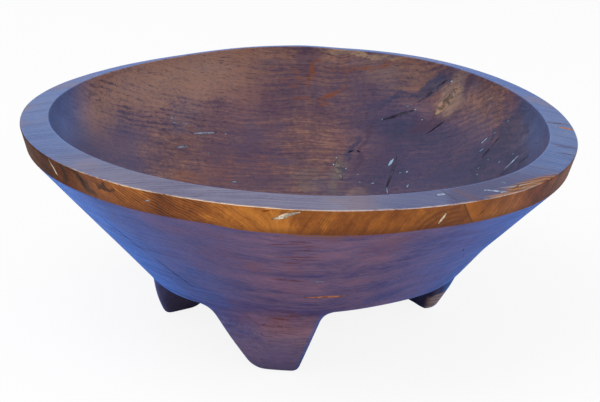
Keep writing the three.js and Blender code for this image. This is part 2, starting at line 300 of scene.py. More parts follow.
# Dark marks at the left of the band and dark red streaks in front on the flank, both seen from the front:
# x, height from the rim's plane, half length, half height, turn.
BAND_MARKS = ((-176, -9, 16, 3.6, -30), (-158, -6, 12, 1.6, -25), (-193, -13, 9, 2.4, -60))
FLANK_STREAKS = (
    (-9, -34.5, 16, 1.0, 3), (0, -38.5, 16, 1.0, 2), (7, -43, 14, 0.9, 0), (-6, -47, 8, 0.9, 3),
    (3, -52.5, 16, 1.0, 3), (10, -56, 10, 0.8, 2), (-2, -61, 7, 0.9, 0), (-4, -84, 12, 1.6, -4),
    (18, -106, 12, 1.0, 2), (-6, -128, 9, 1.4, -8), (2, -133, 7, 1.2, 4), (-10, -137, 8, 1.1, 0),
    (-16, -146, 9, 1.0, 2), (-14, -152, 10, 0.9, 0),
)

# How calm the figure is at the left against the right, the depth of the wood's fine relief, and the sheens.
CALM = 0.35
RELIEF = 0.6 * MM
SKY = (0.2, 0.4, 1.0)
DEEP_SKY = (0.03, 0.25, 1.0)

# The camera of the photograph.
CAMERA_DISTANCE = 2.0
CAMERA_ELEVATION = 17.06
CAMERA_PITCH = 19.128
CAMERA_YAW = 0.099
CAMERA_ROLL = 2.158
CAMERA_FOCAL_PIXELS = 2223.2
PICTURE_WIDTH = 600
SENSOR_WIDTH = 36.0

# The floor, and how far it glows to the camera.
FLOOR_REACH = 6.0
FLOOR_COLOUR = 0.94
FLOOR_GLOW = 0.88

# Light: the white surroundings, and lamps as name, angle round the bowl, height angle, distance, width,
# depth, power.
WORLD_LIGHT = 0.56
LAMPS = (
    ("key lamp", -38, 58, 2.6, 1.6, 1.6, 27),
    ("strip lamp far left", -84, 26, 3.0, 1.5, 0.24, 7),
    ("strip lamp left", -42, 27, 3.0, 1.7, 0.24, 8),
    ("strip lamp middle", 0, 27, 3.0, 1.7, 0.24, 8),
    ("strip lamp right", 42, 27, 3.0, 1.7, 0.24, 8),
    ("strip lamp far right", 84, 26, 3.0, 1.5, 0.24, 7),
)


# The carved shape

def smooth_max(a, b, width):
    """The larger of two distances, blended where they are closer together than the width."""
    share = np.clip(width - np.abs(a - b), 0, None) / width
    return np.maximum(a, b) + share ** 2 * width / 4


def smooth_min(a, b, width):
    return -smooth_max(-a, -b, width)


def outward(angle):
    """Unit vectors in plan that point away from the middle at angles in degrees."""
    turn = np.radians(angle)
    return np.stack([np.sin(turn), -np.cos(turn)], -1)


def along(angle):
    turn = np.radians(angle)
    return np.stack([np.cos(turn), np.sin(turn)], -1)


class Shape:
    """The bowl's carved shape, from the sizes that a user can change."""

    def __init__(self, sizes):
        self.rim_radius = sizes.rim_radius
        self.rim_height = sizes.rim_height
        self.hollow_radius = self.rim_radius - RIM_WIDTH
        self.band_foot = self.rim_radius - BAND_TAPER
        self.flank_fall = math.tan(math.radians(FLANK_SLOPE))
        self.underside_rise = math.tan(math.radians(UNDERSIDE_SKEW))

    def hollow_height(self, radius):
        share = 1 - np.minimum(radius / self.hollow_radius, 1) ** HOLLOW_FULLNESS
        return RIM_FALL - HOLLOW_DEPTH * share ** HOLLOW_ROUNDNESS

    def flank_radius(self, height):
        return self.band_foot + (height + BAND_HEIGHT) / self.flank_fall

    def underside_height(self, x):
        """The underside's height from the ground, which grows towards +X."""
        return self.rim_height - UNDERSIDE_DEPTH + x * self.underside_rise

    def underside_edge(self, angle):
        """The radius at which the flank meets the underside."""
        side = np.sin(np.radians(angle))
        reach = self.flank_radius(-UNDERSIDE_DEPTH)
        return reach / (1 - side * self.underside_rise / self.flank_fall)

    def lower_distance(self, radius, angle, height):
        """Roughly how far a point lies outside the wood, seen from below, with feet and underside blended."""
        x, y = np.moveaxis(outward(angle) * radius[..., None], -1, 0)
        rise = height + self.rim_height
        wood = (self.underside_height(x) - rise) * math.cos(math.radians(UNDERSIDE_SKEW))
        edge = self.underside_edge(angle)
        edge_rise = self.underside_height(edge * np.sin(np.radians(angle)))
        sole = np.full_like(edge, FEET[0][2])
        for stand_angle, facing, sole_radius, drift in FEET:
            apart = np.abs((angle - stand_angle + 180) % 360 - 180)
            sole = np.where(apart < FOOT_SPREAD, sole_radius, sole)
            middle = outward(stand_angle) * (sole_radius - SOLE_THICKNESS / 2)
            u = (x - middle[0]) * along(facing)[0] + (y - middle[1]) * along(facing)[1]
            w = (x - middle[0]) * outward(facing)[0] + (y - middle[1]) * outward(facing)[1]
            stand_edge = self.underside_edge(stand_angle)
            top = self.underside_height(stand_edge * math.sin(math.radians(stand_angle)))
            flare = (FOOT_TOP_WIDTH - SOLE_WIDTH) / 2
            wedge = -rise
            for way, half, widening, corner in (
                (-u, SOLE_WIDTH / 2, flare - drift, LEFT_CORNER),
                (u, SOLE_WIDTH / 2, flare + drift, RIGHT_CORNER),
                (-w, SOLE_THICKNESS / 2, FOOT_TOP_THICKNESS - SOLE_THICKNESS, INNER_CORNER),
            ):
                slope = widening / top
                wedge = smooth_max(wedge, (way - half - slope * rise) / math.hypot(1, slope), corner)
            wedge = np.where(w > -WEDGE_REACH, wedge, 1.0)
            wood = smooth_min(wood, wedge, FOOT_FILLET)
        face_rate = (edge - sole) / edge_rise
        face = sole + face_rate * rise
        reach = smooth_max(self.flank_radius(height), face, FACE_ROUNDING)
        steep = np.where(rise < edge_rise, 1 / np.hypot(1, face_rate), math.sin(math.radians(FLANK_SLOPE)))
        outer = (radius - reach) * steep
        low = np.clip(1 - rise / HEEL_HEIGHT, 0, 1)
        return smooth_max(wood, outer, BELLY_ROUNDING + (HEEL_ROUNDING - BELLY_ROUNDING) * low)

    def lower_height(self, radius, angle):
        """The height of the outside, seen from below, found by halving an interval."""
        low = np.full(np.broadcast(radius, angle).shape, -self.rim_height - EDGE_MARGIN)
        high = np.full_like(low, EDGE_MARGIN)
        for _ in range(HALVINGS):
            middle = (low + high) / 2
            inside = self.lower_distance(radius, angle, middle) < 0
            high = np.where(inside, middle, high)
            low = np.where(inside, low, middle)
        return np.maximum((low + high) / 2, -self.rim_height)

    def column_angles(self):
        """Angles round the bowl, closer together at the feet."""
        fine = np.linspace(-180, 180, 3601)
        density = np.ones_like(fine)
        for stand_angle, *_ in FEET:
            apart = np.abs((fine - stand_angle + 180) % 360 - 180)
            density += FOOT_CROWDING / (1 + (apart / FOOT_BELT) ** 6)
        total = np.concatenate([[0], np.cumsum((density[1:] + density[:-1]) / 2)])
        return np.interp(np.arange(COLUMNS) / COLUMNS, total / total[-1], fine)

    def upper_profile(self):
        """[radius, height] from beside the hollow's middle, over the rim and band, to the band's foot."""
        def bend(before, corner, after, rows):
            t = np.linspace(0, 1, rows + 2)[1:-1, None]
            return (1 - t) ** 2 * before + 2 * t * (1 - t) * corner + t ** 2 * after

        top = self.hollow_radius
        depth = np.array([INNER_EDGE / HOLLOW_DEPTH])
        lip_radius = top * (1 - depth ** (1 / HOLLOW_ROUNDNESS)) ** (1 / HOLLOW_FULLNESS)
        turn = np.linspace(0, math.asin(float(lip_radius[0]) / top), HOLLOW_ROWS + 1)[1:]
        hollow = np.stack([top * np.sin(turn), self.hollow_height(top * np.sin(turn))], 1)
        inner = np.array([top, RIM_FALL])
        outer = np.array([self.rim_radius, 0.0])
        foot = np.array([self.band_foot, -BAND_HEIGHT])
        over = (outer - inner) / np.linalg.norm(outer - inner)
        down = (foot - outer) / np.linalg.norm(foot - outer)
        under = np.array([-1, -self.flank_fall]) / math.hypot(1, self.flank_fall)
        rim_start, rim_end = inner + over * INNER_EDGE, outer - over * OUTER_EDGE
        band_start, band_end = outer + down * OUTER_EDGE, foot - down * BAND_EDGE
        flank_start = foot + under * BAND_EDGE
        rim = rim_start + (rim_end - rim_start) * np.linspace(0, 1, RIM_ROWS)[:, None]
        band = band_start + (band_end - band_start) * np.linspace(0, 1, BAND_ROWS)[:, None]
        return np.concatenate([
            hollow, bend(hollow[-1], inner, rim_start, EDGE_ROWS), rim,
            bend(rim_end, outer, band_start, EDGE_ROWS), band,
            bend(band_end, foot, flank_start, EDGE_ROWS - 2), flank_start[None],
        ])

    def grid(self):
        """Rows by columns of points over the whole bowl, without the two middles."""
        angle = self.column_angles()
        upper = self.upper_profile()
        radius = np.repeat(upper[:, :1], COLUMNS, 1)
        height = np.repeat(upper[:, 1:], COLUMNS, 1)
        # The flank, from the band's foot to a little above the belly's edge.
        edge = self.underside_edge(angle)
        share = np.linspace(0, 1, FLANK_ROWS + 1)[1:, None] ** 0.9
        start = upper[-1, 0]
        flank = start + (edge + EDGE_MARGIN - start) * share
        # The underside and the feet.
        fine = np.linspace(0, 1, PROFILE_SAMPLES)[:, None]
        reach = (edge + EDGE_MARGIN) + (CENTRE_RADIUS - edge - EDGE_MARGIN) * fine
        level = self.lower_height(reach, np.broadcast_to(angle, reach.shape))
        slope = np.abs(np.diff(level, axis=0)) / np.abs(np.diff(reach, axis=0))
        weight = 1 + STEEP_CROWDING * np.minimum(slope, STEEPEST)
        apart = np.abs(reach[:-1] - edge) / EDGE_BELT
        weight += EDGE_CROWDING / (1 + apart ** 4)
        kernel = np.hanning(SMOOTHING_ROWS)
        kernel /= kernel.sum()
        half = len(kernel) // 2
        weight = np.apply_along_axis(
            lambda row: np.convolve(np.r_[row[-half:], row, row[:half]], kernel, "valid"), 1, weight)
        total = np.concatenate([np.zeros((1, COLUMNS)), np.cumsum(weight, 0)])
        total /= total[-1]
        wanted = np.linspace(0, 1, FOOT_ROWS + 1)[1:]
        feet = np.stack([np.interp(wanted, total[:, i], reach[:, i]) for i in range(COLUMNS)], 1)
        centre = CENTRE_RADIUS * (1 - np.linspace(0, 1, CENTRE_ROWS + 1)[1:-1, None]) * np.ones(COLUMNS)
        lower = np.concatenate([flank, feet, centre])
        low_height = self.lower_height(lower, np.broadcast_to(angle, lower.shape))
        radius = np.concatenate([radius, lower])
        height = np.concatenate([height, low_height])
        plan = outward(angle)
        return np.stack([radius * plan[:, 0], radius * plan[:, 1], height], -1)


def carved_block(shape):
    """The closed bowl as vertices and faces, its two middles closed with triangles."""
    points = shape.grid()
    rows = len(points)
    top = np.array([[0, 0, shape.hollow_height(np.array(0.0))]])
    bottom = np.array([[0, 0, -UNDERSIDE_DEPTH]])
    vertices = np.concatenate([points.reshape(-1, 3), top, bottom])
    index = np.arange(rows * COLUMNS).reshape(rows, COLUMNS)
    following = np.roll(index, -1, 1)
    quads = np.stack([index[:-1], index[1:], following[1:], following[:-1]], -1).reshape(-1, 4)
    first = np.stack([np.full(COLUMNS, len(vertices) - 2), index[0], following[0]], -1)
    last = np.stack([np.full(COLUMNS, len(vertices) - 1), following[-1], index[-1]], -1)
    return vertices, [*quads.tolist(), *first.tolist(), *last.tolist()]


class Surface:
    """One of the bowl's surfaces, as a line of [radius, height] turned about the upright axis."""

    def __init__(self, shape, name):
        measure = {
            "rim": (0, RIM_WIDTH), "band": (0, BAND_HEIGHT), "hollow": (0, shape.hollow_radius),
            "flank": (BAND_HEIGHT, UNDERSIDE_DEPTH + FLANK_OVERRUN),
        }[name]
        at = np.linspace(0, 1, LINE_SAMPLES) ** (2 if name == "hollow" else 1)
        self.at = measure[0] + (measure[1] - measure[0]) * at
        if name == "rim":
            line = (shape.rim_radius - self.at, RIM_FALL * self.at / RIM_WIDTH)
        elif name == "band":
            line = (shape.rim_radius - BAND_TAPER * self.at / BAND_HEIGHT, -self.at)
        elif name == "flank":
            line = (shape.flank_radius(-self.at), -self.at)
        else:
            line = (shape.hollow_radius - self.at, shape.hollow_height(shape.hollow_radius - self.at))
        self.line = np.stack(line, 1)
        self.length = np.concatenate([[0], np.cumsum(np.linalg.norm(np.diff(self.line, axis=0), axis=1))])
        self.outside = name in ("band", "flank")

    def point(self, angle, at, x, y, lift):
        """A point x round the bowl and y along the surface from a place on it, lifted off the wood."""
        length = np.interp(at, self.at, self.length) + y
        step = 0.4 * MM

        def place(distance):
            return np.stack([np.interp(distance, self.length, self.line[:, i]) for i in (0, 1)], -1)

        radius, height = np.moveaxis(place(length), -1, 0)
        across = place(length + step) - place(length - step)
        across /= np.linalg.norm(across, axis=-1, keepdims=True)
        turn = angle + np.degrees(x / radius)
        plan = outward(turn)
        out = np.stack([-across[..., 1], across[..., 0]], -1) * (1 if self.outside else -1)
        flat = radius + out[..., 0] * lift
        return np.concatenate([plan * flat[..., None], (height + out[..., 1] * lift)[..., None]], -1)


# Meshes

def mesh_object(name, vertices, faces):
    mesh = bpy.data.meshes.new(name)
    mesh.from_pydata(np.asarray(vertices).tolist(), [], faces)
    mesh.validate()
    piece = bpy.data.objects.new(name, mesh)
    bpy.context.scene.collection.objects.link(piece)
    return piece


def baked(piece):
    """Turns a piece's live modifiers into a plain mesh."""
    bpy.context.view_layer.update()
    graph = bpy.context.evaluated_depsgraph_get()
    mesh = bpy.data.meshes.new_from_object(piece.evaluated_get(graph), depsgraph=graph)
    old = piece.data
    piece.modifiers.clear()
    piece.data = mesh
    mesh.name = piece.name
    bpy.data.meshes.remove(old)
    return piece


def lens(surface, place, room, top, depth, seed, rings=26, across=7):
    """A closed lens-shaped body that follows a surface: ragged rings of points from one tip to the other."""
    angle, at, length, width, turn = place
    length, width, at = length * MM, width * MM, at * MM
    random = np.random.default_rng(seed)
    t = np.linspace(-1, 1, rings + 1)
    wave = np.zeros((2, rings + 1))
    for k in range(1, 6):
        strength = random.normal(0, 1 / k, (2, 1))
        wave += strength * np.sin(k * math.pi * (t + 1) / 2 + random.uniform(0, 6.28, (2, 1)))
    body = (1 - t ** 2) * width / 2
    upper = body * (1 + RAGGED * wave[0]) + room
    lower = -body * (1 + RAGGED * wave[1]) - room
    x = t * (length / 2 + room * 2)
    vertices, faces = [], []
    sweep = math.radians(turn)
    count = across + 3
    for i in range(rings + 1):
        s = np.linspace(0, 1, across + 1)
        bottom = [lower[i] * BOTTOM_WIDTH, upper[i] * BOTTOM_WIDTH]
        y = np.concatenate([upper[i] + (lower[i] - upper[i]) * s, bottom])
        lift = np.concatenate([top(s, t[i]), [-depth, -depth]])
        turned_x = x[i] * math.cos(sweep) - y * math.sin(sweep)
        turned_y = x[i] * math.sin(sweep) + y * math.cos(sweep)
        vertices.append(surface.point(angle, at, turned_x, turned_y, lift))
    for i in range(rings):
        near, far = i * count, (i + 1) * count
        for j in range(count):
            k = (j + 1) % count
            faces.append([near + j, near + k, far + k, far + j])
    faces.append(list(range(count))[::-1])
    faces.append([rings * count + j for j in range(count)])
    return np.concatenate(vertices), faces


def facing_out(piece):
    """Turns a closed piece's faces outwards."""
    work = bmesh.new()
    work.from_mesh(piece.data)
    bmesh.ops.recalc_face_normals(work, faces=work.faces)
    work.to_mesh(piece.data)
    work.free()
    return piece


# Node trees

class Value:
    """One output of a node. Sums, products, powers and comparisons of it add the nodes they need."""

    def __init__(self, tree, socket):
        self.tree = tree
        self.socket = socket

    def other(self, name):
        """Another output of the same node."""
        return Value(self.tree, self.socket.node.outputs[name])

    def math(self, operation, *terms):
        return self.tree.math(operation, self, *terms)

    def step(self, low, high, smooth=True):
        """0 where this is at low or beyond, 1 where it is at high or beyond, eased in between."""
        settings = {"interpolation_type": "SMOOTHSTEP" if smooth else "LINEAR"}
        inputs = {"Value": self, "From Min": low, "From Max": high}
        return self.tree.node("ShaderNodeMapRange", settings, inputs)

    def __add__(self, term):
        return self.math("ADD", term)

    def __sub__(self, term):
        return self.math("SUBTRACT", term)

    def __rsub__(self, term):
        return self.tree.math("SUBTRACT", term, self)

    def __mul__(self, term):
        return self.math("MULTIPLY", term)

    def __truediv__(self, term):
        return self.math("DIVIDE", term)

    def __pow__(self, term):
        return self.math("POWER", term)

    def __lt__(self, term):
        return self.math("LESS_THAN", term)

    def __gt__(self, term):
        return self.math("GREATER_THAN", term)

    def __abs__(self):
        return self.math("ABSOLUTE")

    __radd__ = __add__
    __rmul__ = __mul__


class Tree:
    """Adds nodes to one material or geometry tree."""

    def __init__(self, tree):
        self.tree = tree

    def node(self, kind, settings=None, inputs=None, output=0):
        made = self.tree.nodes.new(kind)
        for name, value in (settings or {}).items():
            if name == "stops":
                ramp = made.color_ramp
                while len(ramp.elements) < len(value):
                    ramp.elements.new(0.5)
                for element, (position, tone) in zip(ramp.elements, value):
                    element.position = position
                    element.color = (*tone, 1)
            else:
                setattr(made, name, value)
        for key, value in (inputs or {}).items():
            if isinstance(key, int):
                socket = made.inputs[key]
            else:
                socket = next(s for s in made.inputs if s.identifier == key or s.name == key and s.enabled)
            if isinstance(value, Value):
                self.tree.links.new(value.socket, socket)
            else:
                socket.default_value = value
        return Value(self, made.outputs[output]) if made.outputs else None

    def math(self, operation, *terms):
        return self.node("ShaderNodeMath", {"operation": operation}, dict(enumerate(terms)))

    def vector(self, operation, *terms, output=0, **inputs):
        inputs.update(enumerate(terms))
        return self.node("ShaderNodeVectorMath", {"operation": operation}, inputs, output)

    def split(self, vector):
        x = self.node("ShaderNodeSeparateXYZ", inputs={0: vector})
        return x, x.other("Y"), x.other("Z")

    def join(self, x, y, z):
        return self.node("ShaderNodeCombineXYZ", inputs={0: x, 1: y, 2: z})

    def reach(self, x, y):
        """The distance from the upright axis."""
        return self.vector("LENGTH", self.join(x, y, 0.0), output="Value")

    def mix(self, factor, first, second):
        """Two colours mixed."""
        inputs = {"Factor_Float": factor, "A_Color": colour(first), "B_Color": colour(second)}
        return self.node("ShaderNodeMix", {"data_type": "RGBA"}, inputs, 2)

    def noise(self, place, scale, detail=2.0, roughness=0.5, output="Fac"):
        inputs = {"Vector": place, "Scale": scale, "Detail": detail, "Roughness": roughness}
        return self.node("ShaderNodeTexNoise", {"noise_dimensions": "3D"}, inputs, output)

    def wander(self, place, scale, detail, roughness, amount):
        """A vector noise that is zero on average."""
        noise = self.noise(place, scale, detail, roughness, output="Color")
        return self.vector("SCALE", self.vector("SUBTRACT", noise, (0.5, 0.5, 0.5)), Scale=amount)

    def carved_place(self):
        """Where each point was before the wood warped."""
        return self.node("ShaderNodeAttribute", {"attribute_name": CARVED_PLACE}, None, "Vector")

    def bump(self, height, strength, distance):
        inputs = {"Strength": strength, "Distance": distance, "Height": height}
        return self.node("ShaderNodeBump", inputs=inputs)

    def surface(self, shader):
        self.node("ShaderNodeOutputMaterial", inputs={"Surface": shader})


def colour(value):
    """A colour with the opacity that a socket wants, or a linked value as it is."""
    return value if isinstance(value, Value) else (*value, 1.0)


def shaded(tone, *factors):
    return tuple(min(1.0, c * k) for c, k in zip(tone, factors))


def geometry_tree(name, sockets):
    """An empty geometry tree with a geometry in and out and named inputs, as name, kind and default."""
    group = bpy.data.node_groups.new(name, "GeometryNodeTree")
    group.interface.new_socket("Geometry", in_out="INPUT", socket_type="NodeSocketGeometry")
    for label, kind, default in sockets:
        made = group.interface.new_socket(label, in_out="INPUT", socket_type=kind)
        if default is not None:
            made.default_value = default
    group.interface.new_socket("Geometry", in_out="OUTPUT", socket_type="NodeSocketGeometry")
    return group


def set_inputs(modifier, values):
    """Sets a modifier's inputs, named as in its tree, by their identifiers."""
    for item in modifier.node_group.interface.items_tree:
        if item.item_type == "SOCKET" and item.in_out == "INPUT" and item.name in values:
            modifier[item.identifier] = values[item.name]


def warp_sizes(sizes):
    """The number inputs of the drying tree."""
    return {
        "Rim Radius": sizes.rim_radius, "Rim Height": sizes.rim_height,
        "Fade Height": sizes.rim_height - UNDERSIDE_DEPTH,
        "Saddle Rise": sizes.saddle_rise, "Saddle Angle": sizes.saddle_angle,
        "Threefold Rise": sizes.threefold_rise, "Threefold Angle": sizes.threefold_angle,
        "Unevenness": sizes.unevenness, "Unevenness Scale": 1 / sizes.unevenness_length,
        **{name: reach for name, reach, *_ in CORRECTIONS},
    }


def dried_tree(numbers):
    """The tree that keeps each point's carved place and then warps it as the wood dried."""
    label = "dried wood"
    if label in bpy.data.node_groups:
        return bpy.data.node_groups[label]
    group = geometry_tree(label, [
        *((name, "NodeSocketFloat", value) for name, value in numbers.items()),
        *((name, "NodeSocketMaterial", None) for name in REGIONS),
    ])
    tree = Tree(group)
    given = tree.node("NodeGroupInput").other
    place = tree.node("GeometryNodeInputPosition")
    x, y, z = tree.split(place)
    share = tree.reach(x, y) / given("Rim Radius")
    angle = x.math("ARCTAN2", y * -1)
    fade = ((z + given("Rim Height")) / given("Fade Height")).math("MINIMUM", 1.0)
    lift = given("Rim Height")
    for fold, name in ((2, "Saddle"), (3, "Threefold")):
        swing = ((angle - given(name + " Angle")) * fold).math("COSINE")
        lift = lift + swing * share ** fold * given(name + " Rise") * fade
    moves = {"x": 0.0, "y": 0.0, "z": lift}
    outward_share = share.step(1 - RIM_WIDTH / RIM_RADIUS, 1.0, smooth=False)
    measures = {"x": x, "y": y, "z": z, "aside": abs(x), "across": outward_share}
    for name, _, axis, *limits in CORRECTIONS:
        amount = given(name)
        for measure, *ends in limits:
            amount = amount * (measures[measure].step(*ends) if ends else measures[measure])
        moves[axis] = amount + moves[axis]
    strength = given("Unevenness") * fade.step(0.0, 1.0)
    uneven = tree.wander(place, given("Unevenness Scale"), detail=1.5, roughness=0.4, amount=strength)
    offset = tree.vector("ADD", uneven, tree.join(*moves.values()))
    vector = {"data_type": "FLOAT_VECTOR"}
    kept = tree.node("GeometryNodeStoreNamedAttribute", vector | {"domain": "POINT"},
                     {"Geometry": given("Geometry"), "Name": CARVED_PLACE, "Value": place})
    moved = tree.node("GeometryNodeSetPosition", inputs={"Geometry": kept, "Offset": offset})
    done = tree.node("GeometryNodeRealizeInstances", inputs={"Geometry": moved})
    # Each region of the carved surface gets its own finish, by where the middle of a face is.
    carved = tree.node("GeometryNodeInputNamedAttribute", vector, {"Name": CARVED_PLACE})
    x, y, z = tree.split(carved)
    inward = given("Rim Radius") - tree.reach(x, y)
    above_rim = z - inward * (RIM_FALL / RIM_WIDTH)
    above_flank = z + BAND_HEIGHT + (inward - BAND_TAPER) * math.tan(math.radians(FLANK_SLOPE))
    under_flank = (above_flank < BAND_HEIGHT / 2) * (above_rim < -BAND_HEIGHT / 4)
    tests = {
        "Flank": under_flank + (z < -HOLLOW_DEPTH - REGION_MARGIN),
        "Rim": (inward < RIM_WIDTH - RIM_REGION_INSET) * (above_rim > -RIM_REGION_DROP),
        "Band": (inward < BAND_TAPER + BAND_REGION_EXTRA) * (above_rim < -RIM_REGION_DROP)
        * (z > -BAND_HEIGHT),
    }
    for name in REGIONS:
        inputs = {"Geometry": done, "Material": given(name), "Selection": tests.get(name, True)}
        done = tree.node("GeometryNodeSetMaterial", inputs=inputs)
    tree.node("NodeGroupOutput", inputs={0: done})
    return group


def dry(piece, sizes, *materials):
    """Warps a carved piece, sets it at its height and gives it its finish, or one for each region."""
    numbers = warp_sizes(sizes)
    modifier = piece.modifiers.new("dried", "NODES")
    modifier.node_group = dried_tree(numbers)
    set_inputs(modifier, numbers | {name: materials[i % len(materials)] for i, name in enumerate(REGIONS)})
    return baked(piece)


# Materials

def new_material(name):
    material = bpy.data.materials.new(name)
    material.use_nodes = True
    material.node_tree.nodes.clear()
    return material, Tree(material.node_tree)


class Figure:
    """The figure of the wood at each place of the block, and its colour. The growth layers stand across the y
    axis, so that their edges run along x, and they stray with the place, most on the +X side."""

    def __init__(self, tree, stray=0.034, tilt=0):
        self.tree = tree
        self.base = None
        self.place = tree.carved_place()
        self.x, self.y, self.z = tree.split(self.place)
        self.radius = tree.reach(self.x, self.y)
        self.above_rim = self.z - (RIM_RADIUS - self.radius) * (RIM_FALL / RIM_WIDTH)
        lively = self.x.step(-0.06, 0.16) * (1 - CALM) + CALM
        slow = tree.wander(self.place, 6.5, 2.0, 0.5, lively * (2 * stray))
        quick = tree.wander(self.place, 34, 2.0, 0.5, 0.007)
        strayed = tree.vector("ADD", tree.vector("ADD", self.place, slow), quick)
        self.laid = tree.node("ShaderNodeVectorRotate", {"rotation_type": "X_AXIS"},
                              {"Vector": strayed, "Angle": math.radians(-tilt)}, "Vector")
        ragged = tree.wander(self.place, 42, 4.0, 0.5, 0.026)
        self.bent_x, _, self.bent_z = tree.split(tree.vector("ADD", self.place, ragged))
        self.mottle = tree.noise(self.place, 30, 4.0, 0.62)
        self.hue = tree.noise(tree.vector("ADD", self.place, (3.1, 1.7, 0.4)), 17, 3.0, 0.6)

    def streaks(self, rates, detail=2.5, roughness=0.6, spread=0.2):
        """Noise drawn out along the fibres: rates are how often it changes along x, y and z."""
        value = self.tree.noise(self.tree.vector("MULTIPLY", self.laid, rates), 1.0, detail, roughness)
        return value.step(0.5 - spread, 0.5 + spread, smooth=False)

    def rings(self, gap, sharpness, across=None):
        """Fine dark growth lines, a gap apart, as 0 between them and 1 on them."""
        if across is None:
            across = self.tree.split(self.laid)[1]
        wave = (across * (2 * math.pi / gap)).math("SINE") * 0.5 + 0.5
        return wave ** sharpness

    def ellipse(self, u, v, length, height, turn, edge):
        angle = math.radians(turn)
        lengthwise = u * math.cos(angle) + v * math.sin(angle)
        crosswise = v * math.cos(angle) - u * math.sin(angle)
        away = (lengthwise * (1 / (length * MM))) ** 2.0 + (crosswise * (1 / (height * MM))) ** 2.0
        return away.math("SQRT").step(1.0 + edge, 1.0 - edge)

    def patch(self, x, z, length, height, turn, edge=0.5):
        """1 in a ragged ellipse, as seen from the front, and 0 well outside it."""
        return self.ellipse(self.bent_x - x * MM, self.bent_z - z * MM, length, height, turn, edge)

    def plan_patch(self, x, y, length, height, turn, edge=0.4):
        """The same, seen from above, and with a finer edge."""
        stray = (self.mottle - 0.5) * 0.004
        return self.ellipse(self.x - x * MM + stray, self.y - y * MM + stray, length, height, turn, edge)

    def ramp(self, tone, stops):
        """Starts the colour as a ramp of the figure's tone."""
        self.base = self.tree.node("ShaderNodeValToRGB", {"stops": stops}, {"Fac": tone}, "Color")

    def wash(self, tone, strength, *masks):
        """Lays a colour over the wood, as strongly as the strength and the masks together say."""
        for mask in masks:
            strength = mask * strength
        self.base = self.tree.mix(strength, self.base, tone)

    def lacquer(self, roughness, height, depth, specular, coat, sheen=None):
        """Ends the material: fine relief under a thin coat, given as weight and roughness, and a sheen."""
        inputs = {
            "Base Color": self.base, "Roughness": roughness, "Specular IOR Level": specular,
            "Normal": self.tree.bump(height, depth, RELIEF),
            "Coat Weight": coat[0], "Coat Roughness": coat[1],
        }
        if sheen:
            inputs |= {"Sheen Weight": sheen[0], "Sheen Roughness": sheen[1], "Sheen Tint": colour(sheen[2])}
        self.tree.surface(self.tree.node("ShaderNodeBsdfPrincipled", None, inputs))


